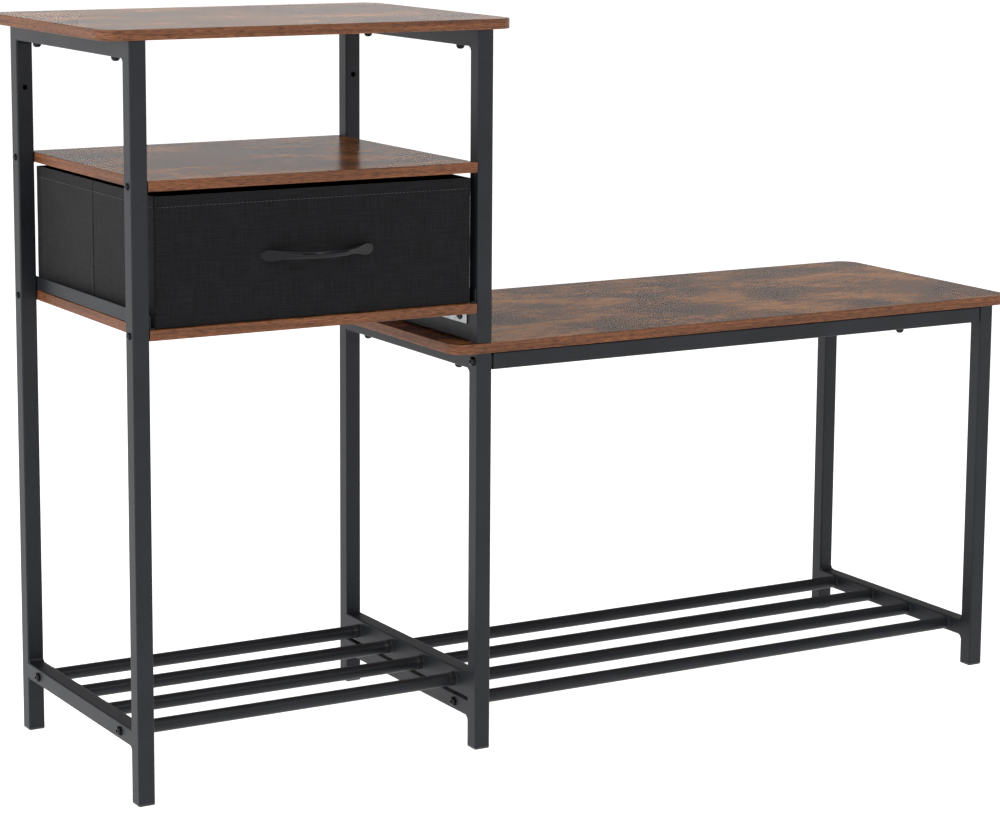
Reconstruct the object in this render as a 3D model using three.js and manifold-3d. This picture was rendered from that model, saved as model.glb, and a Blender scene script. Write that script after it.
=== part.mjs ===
// Entryway bench: a laminated seat board on a low steel frame, with a taller shelf tower at its left end.
// The tower holds a fabric drawer between two shelves, and round-tube shoe racks run along the bottom.
// Millimetres, +Z up, the front faces -Y. The origin is at the bottom centre of the whole bench.
import * as THREE from "three";
import { mergeVertices } from "three/addons/utils/BufferGeometryUtils.js";
import Module from "manifold-3d";

const wasm = await Module();
wasm.setup();

// ---------------------------------------------------------------- driving dimensions
// Steel frames of square tube.
const FRAME_LENGTH = 1200; // outer face of the left frame to outer face of the right frame
const FRAME_DEPTH = 350; // front face of a front leg to rear face of a rear leg
const TOWER_BAY = 412; // clear width inside the tower
const TUBE = 20; // square tube, outside
const TUBE_WALL = 1.2;
const TUBE_CORNER = 2; // outside corner radius of the square tube
const WELD_GAP = 0.3; // between a rail and the leg it is welded to

// Boards.
const BOARD = 12; // thickness of every board
const BOARD_CORNER = 25; // corner radius of the seat and tower top, seen from above
const END_OVERHANG = 30; // seat and tower top past the frames, at each end
const FACE_OVERHANG = 2; // seat and tower top past the frames, front and rear
const SHELF_GAP = 0.5; // each side of a shelf, to the frames that it fits between
const SEAT_GAP = 0.3; // between a board and the frame under it

// Heights, stacked from the floor up.
const SEAT_HEIGHT = 490;
const BASE_RAIL_HEIGHT = 35; // rail that stands on the seat and carries the lower shelf
const DRAWER_BAY = 152; // clear height between the two shelves
const OPEN_BAY = 152; // clear height between the upper shelf and the tower top
const SHELF_REST = 1; // lower shelf above its base rail

// Steel angles that stand on the lower shelf and guide the drawer.
const GUARD_HEIGHT = 16;
const GUARD_FOOT = 6.5; // width of the flange that lies on the shelf
const GUARD_PLATE = 1.5;
const GUARD_INSET = 2; // behind the frame's front face, and in front of its rear face
const GUARD_GAP = 0.3; // above the shelf

// Shoe racks of round tube.
const RACK_FLOOR_CLEARANCE = 37; // floor to the underside of the bench rack's rails
const RACK_STACK_GAP = 3; // between the two rails that are stacked on the middle frame
const RACK_END_BAR_HEIGHT = 30;
const RACK_TUBE_COUNT = 4;
const RACK_TUBE_DIAMETER = 16;
const RACK_TUBE_WALL = 1;
const RACK_TUBE_INSET = 52; // axis of an outer rack tube behind the frame's face

// Feet, bolts, screws and brackets.
const FOOT_CAP = 3; // thickness of the foot under the leg
const FOOT_STEM = 16; // length of the foot inside the leg
const FOOT_CLEARANCE = 0.3; // foot stem to the inside of the leg
const BOLT_DIAMETER = 6;
const BOLT_HEAD_DIAMETER = 11;
const BOLT_HEAD_HEIGHT = 3.5;
const BOLT_SOCKET = 4; // hex socket, across flats
const BOLT_SOCKET_DEPTH = 2.2;
const BOLT_GRIP = 14; // length of a bolt past the tube that it clamps
const SCREW_DIAMETER = 4;
const SCREW_HEAD_DIAMETER = 8;
const SCREW_HEAD_HEIGHT = 2.2;
const SCREW_SOCKET = 2.5;
const SCREW_SOCKET_DEPTH = 1.4;
const SCREW_GRIP = 22; // length of a screw inside the shelf's end
const HOLE_CLEARANCE = 0.4; // radial, round every bolt and screw
const SEATING_GAP = 0.3; // under a bolt or screw head
const APRON_END_GAP = 2; // at each end of an apron, to the leg
const BRACKET_LENGTH = 60;
const BRACKET_LEG = 15;
const BRACKET_PLATE = 1.5;
const BRACKET_GAP = 0.3; // to the rail and the shelf that it joins
const BRACKET_INSET = 3; // past the inner face of the post
const WALL_HOLE_DIAMETER = 6.5; // wall fixing, through a rear leg
const WALL_HOLE_DROP = 75; // below the top of the frame

// Fabric drawer.
const DRAWER_SIDE_GAP = 8;
const DRAWER_TOP_GAP = 6;
const DRAWER_REST = 0.4; // above the lower shelf
const DRAWER_SETBACK = 3; // front panel behind the frame's face
const DRAWER_REAR_GAP = 4; // rear panel in front of the frame's rear face
const DRAWER_WALL = 3;
const BASE_BOARD = 4; // stiffening board that lies in the drawer
const BASE_BOARD_GAP = 0.5; // round and under the stiffening board
const HANDLE_LENGTH = 142;
const HANDLE_REACH = 26; // in front of the drawer
const HANDLE_THICKNESS = 7;
const HANDLE_WIDTH = 12;
const HANDLE_FOOT = 26; // length of each flattened end
const HANDLE_GAP = 0.3; // to the drawer's front

// ---------------------------------------------------------------- positions that follow
const middleX = TUBE + TOWER_BAY; // outer face of the middle frame
const benchBay = FRAME_LENGTH - middleX - 2 * TUBE;
const seatUnderside = SEAT_HEIGHT - BOARD;
const lowerShelfUnderside = SEAT_HEIGHT + BASE_RAIL_HEIGHT + SHELF_REST;
const lowerShelfTop = lowerShelfUnderside + BOARD;
const upperShelfUnderside = lowerShelfTop + DRAWER_BAY;
const upperShelfTop = upperShelfUnderside + BOARD;
const towerTopUnderside = upperShelfTop + OPEN_BAY;
const benchRackZ = RACK_FLOOR_CLEARANCE + TUBE / 2;
const rackEndBarBottom = benchRackZ + TUBE / 2 + RACK_STACK_GAP;
const towerRackZ = rackEndBarBottom + RACK_END_BAR_HEIGHT / 2;
const rackPitch = (FRAME_DEPTH - 2 * RACK_TUBE_INSET) / (RACK_TUBE_COUNT - 1);
const drawerDepth = FRAME_DEPTH - DRAWER_SETBACK - DRAWER_REAR_GAP;
const frontmost = DRAWER_SETBACK - HANDLE_GAP - HANDLE_REACH;
const rearmost = FRAME_DEPTH + FACE_OVERHANG;

// ---------------------------------------------------------------- materials
const surface = (color, roughness, metalness) =>
  new THREE.MeshStandardMaterial({ color, roughness, metalness });
const paintedSteel = () => surface(0x33363a, 0.5, 0.4);
const laminate = () => surface(0x6b4530, 0.55, 0);
const blackPlastic = () => surface(0x17181a, 0.4, 0);
const blackFabric = () => surface(0x232326, 0.95, 0);
const greyboard = () => surface(0x6f665c, 0.9, 0);
const zincSteel = () => surface(0xb9bcbd, 0.35, 0.9);
const blackSteel = () => surface(0x1b1c1e, 0.4, 0.7);

// ---------------------------------------------------------------- solids
const OVERRUN = 2; // how far a drill starts and ends past the faces that it goes through

// A closed geometry with its vertices merged, as a solid that can be cut and joined.
function solid(geometry) {
  const bare = geometry.clone();
  bare.deleteAttribute("normal");
  bare.deleteAttribute("uv");
  const merged = mergeVertices(bare, 1e-4);
  const vertProperties = new Float32Array(merged.getAttribute("position").array);
  const triVerts = new Uint32Array(merged.index.array);
  return new wasm.Manifold(new wasm.Mesh({ numProp: 3, vertProperties, triVerts }));
}

// The geometry of a solid, with flat faces.
function geometryOf(body) {
  const { vertProperties, triVerts } = body.getMesh();
  const shape = new THREE.BufferGeometry();
  shape.setAttribute("position", new THREE.BufferAttribute(new Float32Array(vertProperties), 3));
  shape.setIndex(new THREE.BufferAttribute(new Uint32Array(triVerts), 1));
  shape.computeVertexNormals();
  return shape;
}

// One geometry less a list of others.
function cut(geometry, tools) {
  let body = solid(geometry);
  for (const tool of tools) body = body.subtract(solid(tool));
  return geometryOf(body);
}

// A box from its lowest corner and its size.
function box(corner, size) {
  const shape = new THREE.BoxGeometry(...size);
  return shape.translate(...corner.map((low, axis) => low + size[axis] / 2));
}

// A rectangle with rounded corners, its lowest corner at x, y.
function roundedRectangle(x, y, width, height, radius, Kind = THREE.Shape) {
  const outline = new Kind();
  outline.absarc(x + radius, y + radius, radius, Math.PI, 1.5 * Math.PI);
  outline.absarc(x + width - radius, y + radius, radius, -Math.PI / 2, 0);
  outline.absarc(x + width - radius, y + height - radius, radius, 0, Math.PI / 2);
  outline.absarc(x + radius, y + height - radius, radius, Math.PI / 2, Math.PI);
  outline.closePath();
  return outline;
}

// A rectangle with square corners, its lowest corner at x, y.
function rectangle(x, y, width, height, Kind = THREE.Shape) {
  const outline = new Kind();
  outline.moveTo(x, y);
  outline.lineTo(x + width, y);
  outline.lineTo(x + width, y + height);
  outline.lineTo(x, y + height);
  outline.closePath();
  return outline;
}

// Turns a shape that was extruded along +Z so that it runs along the named axis.
const alongAxis = {
  x: (shape) => shape.rotateY(Math.PI / 2).rotateX(Math.PI / 2),
  y: (shape) => shape.rotateX(-Math.PI / 2),
  z: (shape) => shape,
};

// A hollow rectangular tube, centred on its axis, from 0 to its length along x, y or z.
// Its height is the size that stands up: along Z on a rail, along Y on a leg.
function squareTube(axis, length, height = TUBE) {
  const section = roundedRectangle(-TUBE / 2, -height / 2, TUBE, height, TUBE_CORNER);
  const boreWidth = TUBE - 2 * TUBE_WALL;
  const boreHeight = height - 2 * TUBE_WALL;
  section.holes.push(rectangle(-boreWidth / 2, -boreHeight / 2, boreWidth, boreHeight, THREE.Path));
  const shape = new THREE.ExtrudeGeometry(section, { depth: length, bevelEnabled: false, curveSegments: 3 });
  return alongAxis[axis](shape);
}

// A cylinder along x or y that starts at a point, used to drill and as a plain pin.
function drill(axis, start, length, radius, sides = 12) {
  const shape = new THREE.CylinderGeometry(radius, radius, length, sides);
  if (axis === "x") shape.rotateZ(-Math.PI / 2).translate(length / 2, 0, 0);
  if (axis === "y") shape.translate(0, length / 2, 0);
  return shape.translate(...start);
}

// A button-head bolt or screw that points along +X, its head's seat at x = 0.
function fastener(shankRadius, shankLength, headRadius, headHeight, socket, socketDepth) {
  const crown = 0.55 * headRadius;
  const shoulder = 0.45 * headHeight;
  const profile = [
    [0, -headHeight],
    [crown, -headHeight],
    [headRadius, -shoulder],
    [headRadius, 0],
    [shankRadius, 0],
    [shankRadius, shankLength],
    [0, shankLength],
  ];
  const turned = new THREE.LatheGeometry(profile.map(([r, y]) => new THREE.Vector2(r, y)), 16);
  turned.rotateZ(-Math.PI / 2);
  const hexRadius = socket / Math.sqrt(3);
  const hex = drill("x", [-headHeight - OVERRUN, 0, 0], socketDepth + OVERRUN, hexRadius, 6);
  return cut(turned, [hex]);
}

const boltShape = (grip) =>
  fastener(
    BOLT_DIAMETER / 2,
    SEATING_GAP + grip,
    BOLT_HEAD_DIAMETER / 2,
    BOLT_HEAD_HEIGHT,
    BOLT_SOCKET,
    BOLT_SOCKET_DEPTH,
  );

const screwShape = (grip) =>
  fastener(
    SCREW_DIAMETER / 2,
    SEATING_GAP + grip,
    SCREW_HEAD_DIAMETER / 2,
    SCREW_HEAD_HEIGHT,
    SCREW_SOCKET,
    SCREW_SOCKET_DEPTH,
  );

// A named piece at a place in its group.
function piece(group, name, geometry, material, [x, y, z] = [0, 0, 0]) {
  const mesh = new THREE.Mesh(geometry, material);
  mesh.name = name;
  mesh.position.set(x, y, z);
  group.add(mesh);
  return mesh;
}

// ---------------------------------------------------------------- fixings that several pieces share
const boltHole = BOLT_DIAMETER / 2 + HOLE_CLEARANCE;
const screwHole = SCREW_DIAMETER / 2 + HOLE_CLEARANCE;
const legCentres = { front: TUBE / 2, rear: FRAME_DEPTH - TUBE / 2 };
const rackBoltY = { front: RACK_TUBE_INSET, rear: FRAME_DEPTH - RACK_TUBE_INSET };
const apronZ = seatUnderside - TUBE / 2;
const lowerShelfCentre = lowerShelfUnderside + BOARD / 2;
const upperShelfCentre = upperShelfUnderside + BOARD / 2;

// ---------------------------------------------------------------- frames
// A leg or post at its corner, with holes through it along x or y at the given heights.
function leg(group, name, side, bottom, top, holes) {
  const tube = squareTube("z", top - bottom);
  const through = TUBE + 2 * OVERRUN;
  const drills = holes.map(({ axis, z, radius }) => {
    const start = axis === "x" ? [-through / 2, 0, z - bottom] : [0, -through / 2, z - bottom];
    return drill(axis, start, through, radius);
  });
  const shape = drills.length ? cut(tube, drills) : tube;
  piece(group, name, shape, paintedSteel(), [TUBE / 2, legCentres[side], bottom]);
}

// A rail between the two legs of a frame, with optional bolt holes through it along x.
function rail(group, name, centreZ, holesY = [], height = TUBE) {
  const tube = squareTube("y", FRAME_DEPTH - 2 * TUBE - 2 * WELD_GAP, height);
  const startY = TUBE + WELD_GAP;
  const through = TUBE + 2 * OVERRUN;
  const drills = holesY.map((y) => drill("x", [-through / 2, y - startY, 0], through, boltHole));
  const shape = drills.length ? cut(tube, drills) : tube;
  piece(group, name, shape, paintedSteel(), [TUBE / 2, startY, centreZ]);
}

// A plastic foot: a cap under the leg and a stem inside it.
function foot(group, name, side) {
  const cap = roundedRectangle(-TUBE / 2, -TUBE / 2, TUBE, TUBE, TUBE_CORNER);
  const capShape = new THREE.ExtrudeGeometry(cap, { depth: FOOT_CAP, bevelEnabled: false, curveSegments: 3 });
  const stemWidth = TUBE - 2 * TUBE_WALL - 2 * FOOT_CLEARANCE;
  const stemSize = [stemWidth, stemWidth, FOOT_CAP / 2 + FOOT_STEM];
  const stem = box([-stemWidth / 2, -stemWidth / 2, FOOT_CAP / 2], stemSize);
  const shape = geometryOf(solid(capShape).add(solid(stem)));
  piece(group, name, shape, blackPlastic(), [TUBE / 2, legCentres[side], 0]);
}

const legBottom = FOOT_CAP + SEATING_GAP;
const seatFrameTop = seatUnderside - SEAT_GAP;
const towerFrameTop = towerTopUnderside - SEAT_GAP;
const sides = ["front", "rear"];
const shelfHoles = [lowerShelfCentre, upperShelfCentre].map((z) => ({ axis: "x", z, radius: screwHole }));
const upperShelfHole = [{ axis: "x", z: upperShelfCentre, radius: screwHole }];
const apronHole = { axis: "x", z: apronZ, radius: boltHole };
const wallHole = { axis: "y", z: towerFrameTop - WALL_HOLE_DROP, radius: WALL_HOLE_DIAMETER / 2 };
const topRailOf = (frameTop) => frameTop - TUBE / 2;

function towerLeftFrame() {
  const group = new THREE.Group();
  for (const side of sides) {
    const holes = side === "rear" ? [...shelfHoles, wallHole] : shelfHoles;
    leg(group, `tower_${side}_leg`, side, legBottom, towerFrameTop, holes);
    foot(group, `tower_${side}_foot`, side);
  }
  rail(group, "tower_left_top_rail", topRailOf(towerFrameTop));
  rail(group, "tower_rack_rail", towerRackZ, Object.values(rackBoltY));
  return group;
}

function benchFrame(name) {
  const group = new THREE.Group();
  for (const side of sides) {
    leg(group, `${name}_${side}_leg`, side, legBottom, seatFrameTop, [apronHole]);
    foot(group, `${name}_${side}_foot`, side);
  }
  rail(group, `${name}_top_rail`, topRailOf(seatFrameTop));
  rail(group, `${name}_rack_rail`, benchRackZ, Object.values(rackBoltY));
  return group;
}

// The short frame that stands on the seat and carries the right side of the tower.
function towerRightFrame() {
  const group = new THREE.Group();
  for (const side of sides) {
    const holes = side === "rear" ? [...upperShelfHole, wallHole] : upperShelfHole;
    leg(group, `tower_${side}_post`, side, SEAT_HEIGHT + SEAT_GAP, towerFrameTop, holes);
  }
  rail(group, "tower_right_top_rail", topRailOf(towerFrameTop));
  const baseCentre = SEAT_HEIGHT + SEAT_GAP + BASE_RAIL_HEIGHT / 2;
  rail(group, "tower_base_rail", baseCentre, [], BASE_RAIL_HEIGHT);
  return group;
}

// Front and rear aprons between the middle and right frames.
function aprons() {
  const group = new THREE.Group();
  for (const side of sides) {
    const tube = squareTube("x", benchBay - 2 * APRON_END_GAP);
    const start = [APRON_END_GAP, legCentres[side], topRailOf(seatFrameTop)];
    piece(group, `${side}_apron`, tube, paintedSteel(), start);
  }
  return group;
}

// ---------------------------------------------------------------- boards
// A board with rounded corners that lies on the frames, past them at both ends.
function toppingBoard(name, length, underside) {
  const width = length + 2 * END_OVERHANG;
  const depth = FRAME_DEPTH + 2 * FACE_OVERHANG;
  const outline = roundedRectangle(-END_OVERHANG, -FACE_OVERHANG, width, depth, BOARD_CORNER);
  const shape = new THREE.ExtrudeGeometry(outline, { depth: BOARD, bevelEnabled: false, curveSegments: 8 });
  const group = new THREE.Group();
  piece(group, name, shape, laminate(), [0, 0, underside]);
  return group;
}

// A shelf between the tower's frames, drilled at the ends for the screws through the legs.
function shelf(name, underside, drilledEnds) {
  const length = TOWER_BAY - 2 * SHELF_GAP;
  const plank = box([0, 0, 0], [length, FRAME_DEPTH, BOARD]);
  const depth = SCREW_GRIP + HOLE_CLEARANCE;
  const starts = { left: -OVERRUN, right: length - depth };
  const drills = drilledEnds.flatMap((end) =>
    sides.map((side) => drill("x", [starts[end], legCentres[side], BOARD / 2], depth + OVERRUN, screwHole)),
  );
  const group = new THREE.Group();
  piece(group, name, cut(plank, drills), laminate(), [TUBE + SHELF_GAP, 0, underside]);
  return group;
}

// A steel angle along y, its outer corner at 0, 0, that reaches to x = across and z = up.
function steelAngle(across, up, plate, length) {
  const outline = new THREE.Shape();
  const toX = Math.sign(across) * plate;
  const toZ = Math.sign(up) * plate;
  outline.moveTo(0, 0);
  outline.lineTo(across, 0);
  outline.lineTo(across, toZ);
  outline.lineTo(toX, toZ);
  outline.lineTo(toX, up);
  outline.lineTo(0, up);
  outline.closePath();
  const shape = new THREE.ExtrudeGeometry(outline, { depth: length, bevelEnabled: false });
  return shape.rotateX(Math.PI / 2).translate(0, length, 0);
}

// The angles beside the drawer, one at each end of the lower shelf.
function drawerGuards() {
  const group = new THREE.Group();
  const length = FRAME_DEPTH - 2 * GUARD_INSET;
  const z = lowerShelfTop + GUARD_GAP;
  const leftAngle = steelAngle(GUARD_FOOT, GUARD_HEIGHT, GUARD_PLATE, length);
  piece(group, "left_drawer_guard", leftAngle, paintedSteel(), [TUBE + SHELF_GAP, GUARD_INSET, z]);
  const rightAngle = steelAngle(-GUARD_FOOT, GUARD_HEIGHT, GUARD_PLATE, length);
  piece(group, "right_drawer_guard", rightAngle, paintedSteel(), [middleX - SHELF_GAP, GUARD_INSET, z]);
  return group;
}

// The zinc-plated angle brackets under the lower shelf, against the base rail.
function angleBrackets() {
  const group = new THREE.Group();
  for (const side of sides) {
    const shape = steelAngle(-BRACKET_LEG, -BRACKET_LEG, BRACKET_PLATE, BRACKET_LENGTH);
    const clear = TUBE + BRACKET_INSET;
    const y = side === "front" ? clear : FRAME_DEPTH - clear - BRACKET_LENGTH;
    const corner = [middleX - BRACKET_GAP, y, lowerShelfUnderside - BRACKET_GAP];
    piece(group, `${side}_shelf_bracket`, shape, zincSteel(), corner);
  }
  return group;
}

// ---------------------------------------------------------------- shoe racks
// One rack of round tubes along x, numbered from the front.
function rackTubes(name, length, centreZ) {
  const group = new THREE.Group();
  const section = new THREE.Shape().absarc(0, 0, RACK_TUBE_DIAMETER / 2, 0, 2 * Math.PI);
  const bore = new THREE.Path().absarc(0, 0, RACK_TUBE_DIAMETER / 2 - RACK_TUBE_WALL, 0, 2 * Math.PI);
  section.holes.push(bore);
  for (let i = 0; i < RACK_TUBE_COUNT; i += 1) {
    const depth = length - 2 * WELD_GAP;
    const shape = new THREE.ExtrudeGeometry(section, { depth, bevelEnabled: false, curveSegments: 10 });
    const y = RACK_TUBE_INSET + i * rackPitch;
    piece(group, `${name}_tube_${i + 1}`, alongAxis.x(shape), paintedSteel(), [WELD_GAP, y, centreZ]);
  }
  return group;
}

// The bar across the right ends of the tower rack's tubes, stacked on the middle frame's rack rail.
function rackEndBar() {
  const group = new THREE.Group();
  rail(group, "tower_rack_end_bar", towerRackZ, [], RACK_END_BAR_HEIGHT);
  return group;
}

// ---------------------------------------------------------------- bolts and screws
// Bolts through the rack rails into the outer rack tubes, and through the legs into the aprons.
function bolts() {
  const group = new THREE.Group();
  const grip = TUBE + BOLT_GRIP;
  const rightFace = FRAME_LENGTH + SEATING_GAP;
  for (const side of sides) {
    const y = rackBoltY[side];
    piece(group, `tower_rack_${side}_bolt`, boltShape(grip), blackSteel(), [-SEATING_GAP, y, towerRackZ]);
    const middle = [middleX - SEATING_GAP, y, benchRackZ];
    piece(group, `bench_rack_left_${side}_bolt`, boltShape(grip), blackSteel(), middle);
    const right = piece(group, `bench_rack_right_${side}_bolt`, boltShape(grip), blackSteel());
    right.position.set(rightFace, y, benchRackZ);
    right.rotation.z = Math.PI;
    const apronLeft = [middleX - SEATING_GAP, legCentres[side], apronZ];
    piece(group, `apron_left_${side}_bolt`, boltShape(grip), blackSteel(), apronLeft);
    const apronRight = piece(group, `apron_right_${side}_bolt`, boltShape(grip), blackSteel());
    apronRight.position.set(rightFace, legCentres[side], apronZ);
    apronRight.rotation.z = Math.PI;
  }
  return group;
}

// Screws through the legs and posts into the ends of the shelves.
function shelfScrews() {
  const group = new THREE.Group();
  const grip = TUBE + SHELF_GAP + SCREW_GRIP - HOLE_CLEARANCE;
  for (const side of sides) {
    const y = legCentres[side];
    const lower = [-SEATING_GAP, y, lowerShelfCentre];
    piece(group, `lower_shelf_${side}_screw`, screwShape(grip), blackSteel(), lower);
    const left = [-SEATING_GAP, y, upperShelfCentre];
    piece(group, `upper_shelf_left_${side}_screw`, screwShape(grip), blackSteel(), left);
    const right = piece(group, `upper_shelf_right_${side}_screw`, screwShape(grip), blackSteel());
    right.position.set(middleX + TUBE + SEATING_GAP, y, upperShelfCentre);
    right.rotation.z = Math.PI;
  }
  return group;
}

// ---------------------------------------------------------------- drawer
// The handle seen from above: two flattened ends joined by an arched grip.
function handleOutline() {
  const half = HANDLE_LENGTH / 2;
  const footEnd = half - HANDLE_FOOT; // inner end of a foot
  const shoulder = footEnd - HANDLE_FOOT / 4; // where the arch rises most steeply
  const gripEnd = footEnd - HANDLE_FOOT; // where the grip runs straight
  const riseEnd = (footEnd + gripEnd) / 2;
  const front = -HANDLE_REACH;
  const back = front + HANDLE_THICKNESS;
  const outline = new THREE.Shape();
  outline.moveTo(half, 0);
  outline.lineTo(footEnd, 0);
  outline.bezierCurveTo(shoulder, back / 2, riseEnd, back, gripEnd, back);
  outline.lineTo(-gripEnd, back);
  outline.bezierCurveTo(-riseEnd, back, -shoulder, back / 2, -footEnd, 0);
  outline.lineTo(-half, 0);
  outline.bezierCurveTo(-half, -HANDLE_THICKNESS, -shoulder, front, -gripEnd, front);
  outline.lineTo(gripEnd, front);
  outline.bezierCurveTo(shoulder, front, half, -HANDLE_THICKNESS, half, 0);
  return outline;
}

// The fabric box, its stiffening board and its handle, with the box's lowest front left corner at 0, 0, 0.
function drawer() {
  const group = new THREE.Group();
  const width = TOWER_BAY - 2 * DRAWER_SIDE_GAP;
  const height = DRAWER_BAY - DRAWER_REST - DRAWER_TOP_GAP;
  const wall = DRAWER_WALL;
  const hollow = box([wall, wall, wall], [width - 2 * wall, drawerDepth - 2 * wall, height]);
  const shell = cut(box([0, 0, 0], [width, drawerDepth, height]), [hollow]);
  piece(group, "drawer_fabric_box", shell, blackFabric());

  const inset = wall + BASE_BOARD_GAP;
  const boardSize = [width - 2 * inset, drawerDepth - 2 * inset, BASE_BOARD];
  piece(group, "drawer_base_board", box([0, 0, 0], boardSize), greyboard(), [inset, inset, inset]);

  const extrusion = { depth: HANDLE_WIDTH, bevelEnabled: false, curveSegments: 8 };
  const grip = new THREE.ExtrudeGeometry(handleOutline(), extrusion);
  const handleCorner = [width / 2, -HANDLE_GAP, (height - HANDLE_WIDTH) / 2];
  piece(group, "drawer_handle", grip, blackPlastic(), handleCorner);
  return group;
}

// ---------------------------------------------------------------- assembly
// Built from the outer face of the left frame, the front face of the legs and the floor.
const assembly = new THREE.Group();

function place(group, x = 0, y = 0, z = 0) {
  group.position.set(x, y, z);
  assembly.add(group);
}

place(towerLeftFrame());
place(towerRightFrame(), middleX);
place(benchFrame("middle"), middleX);
place(benchFrame("right"), FRAME_LENGTH - TUBE);
place(aprons(), middleX + TUBE);
place(toppingBoard("seat_board", FRAME_LENGTH - middleX, seatUnderside), middleX);
place(toppingBoard("tower_top_board", middleX + TUBE, towerTopUnderside));
place(shelf("lower_shelf", lowerShelfUnderside, ["left"]));
place(shelf("upper_shelf", upperShelfUnderside, ["left", "right"]));
place(drawerGuards());
place(angleBrackets());
place(rackTubes("tower_rack", TOWER_BAY, towerRackZ), TUBE);
place(rackEndBar(), middleX);
place(rackTubes("bench_rack", benchBay, benchRackZ), middleX + TUBE);
place(bolts());
place(shelfScrews());
place(drawer(), TUBE + DRAWER_SIDE_GAP, DRAWER_SETBACK, lowerShelfTop + DRAWER_REST);

assembly.position.set(-FRAME_LENGTH / 2, -(frontmost + rearmost) / 2, 0);
const bench = new THREE.Group();
bench.add(assembly);

export default bench;
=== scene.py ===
# Entryway bench with a shelf tower: the looks of every piece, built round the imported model.
# Metres, +Z up, the front faces -Y. Sizes in millimetres are multiplied by MM.
import math

import bmesh
import bpy
from mathutils import Matrix, Vector, noise


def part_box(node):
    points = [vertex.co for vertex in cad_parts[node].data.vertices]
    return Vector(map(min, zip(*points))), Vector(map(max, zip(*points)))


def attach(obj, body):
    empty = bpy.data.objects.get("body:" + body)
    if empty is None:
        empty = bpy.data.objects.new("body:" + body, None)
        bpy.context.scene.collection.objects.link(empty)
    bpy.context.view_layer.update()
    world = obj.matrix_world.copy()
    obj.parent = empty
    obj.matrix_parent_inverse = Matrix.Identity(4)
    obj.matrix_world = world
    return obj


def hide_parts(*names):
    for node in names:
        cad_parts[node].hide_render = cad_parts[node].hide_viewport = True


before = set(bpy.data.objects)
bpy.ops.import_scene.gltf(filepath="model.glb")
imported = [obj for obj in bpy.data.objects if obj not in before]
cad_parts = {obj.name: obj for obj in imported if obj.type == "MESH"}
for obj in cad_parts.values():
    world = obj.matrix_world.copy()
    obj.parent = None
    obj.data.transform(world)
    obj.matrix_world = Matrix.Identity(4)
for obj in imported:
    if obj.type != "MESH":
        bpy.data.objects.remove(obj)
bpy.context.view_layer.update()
MM = 0.001
X, Y, Z = 0, 1, 2

# ------------------------------------------------------------------ studio
# A glowing white floor under a sky that is white at the horizon and darker above, with one broad lamp on
# the left and weaker ones above and in front.
# The camera stands to the left of the bench at eye height, with a long lens.


def linear(code):
    """The linear colour of an sRGB hex code."""
    channels = [int(code[i : i + 2], 16) / 255 for i in (0, 2, 4)]
    return [c / 12.92 if c <= 0.04045 else ((c + 0.055) / 1.055) ** 2.4 for c in channels] + [1]


def add_node(material, kind, inputs=None, stops=None, **settings):
    """Adds a shader node with its settings, its input values or links, and a colour ramp's stops."""
    tree = material.node_tree
    made = tree.nodes.new("ShaderNode" + kind)
    for name, value in settings.items():
        setattr(made, name, value)
    for socket, value in (inputs or {}).items():
        if isinstance(value, bpy.types.NodeSocket):
            tree.links.new(value, made.inputs[socket])
        else:
            made.inputs[socket].default_value = value
    for i, (place, code) in enumerate(stops or []):
        elements = made.color_ramp.elements
        stop = elements[i] if i < 2 else elements.new(place)
        stop.position = place
        stop.color = linear(code)
    return made


def new_material(name, **constants):
    """A material whose shader has its constants set on its own sockets."""
    material = bpy.data.materials.new(name)
    material.use_nodes = True
    shader = material.node_tree.nodes["Principled BSDF"]
    for socket, value in constants.items():
        shader.inputs[socket.replace("_", " ")].default_value = value
    return material


def connect(material, **sources):
    """Links sources to the sockets of a material's shader."""
    shader = material.node_tree.nodes["Principled BSDF"]
    for socket, source in sources.items():
        material.node_tree.links.new(source, shader.inputs[socket.replace("_", " ")])


def ramp(material, amount, stops):
    """The colour that an amount picks from a ramp."""
    return add_node(material, "ValToRGB", {"Fac": amount}, stops).outputs["Color"]


FLOOR_SIZE = 60
bpy.ops.object.select_all(action="DESELECT")
bpy.ops.mesh.primitive_plane_add(size=FLOOR_SIZE, location=(0, 0, 0))
floor = bpy.context.object
floor.name = "studio_floor"
floor_paint = new_material(
    "floor_matt_white_acrylic_lit_from_below",
    Roughness=0.9,
    Base_Color=linear("f2f2f2"),
    Specular_IOR_Level=0.1,
    Emission_Color=linear("ffffff"),
    Emission_Strength=0.84,
)
floor.data.materials.append(floor_paint)

sky = bpy.data.worlds.new("studio_sky")
sky.use_nodes = True
direction = add_node(sky, "TexCoord").outputs["Generated"]
height = add_node(sky, "SeparateXYZ", {0: direction}).outputs[2]
# Light by height, as a share of the brightest: a white horizon, a dark band, then an even grey.
shades = [(0.06, "ffffff"), (0.3, "696969"), (0.1, "383838"), (0.2, "383838")]
light = ramp(sky, height, shades)
background = sky.node_tree.nodes["Background"]
background.inputs["Strength"].default_value = 2.5
sky.node_tree.links.new(light, background.inputs["Color"])
bpy.context.scene.world = sky
bpy.context.scene.view_settings.view_transform = "Standard"


def lamp(name, place, target, width, power):
    """A square area lamp that faces a point."""
    data = bpy.data.lights.new(name, "AREA")
    data.size = width
    data.energy = power
    made = bpy.data.objects.new(name, data)
    made.location = place
    made.rotation_euler = (Vector(target) - Vector(place)).to_track_quat("-Z", "Y").to_euler()
    bpy.context.scene.collection.objects.link(made)


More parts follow.
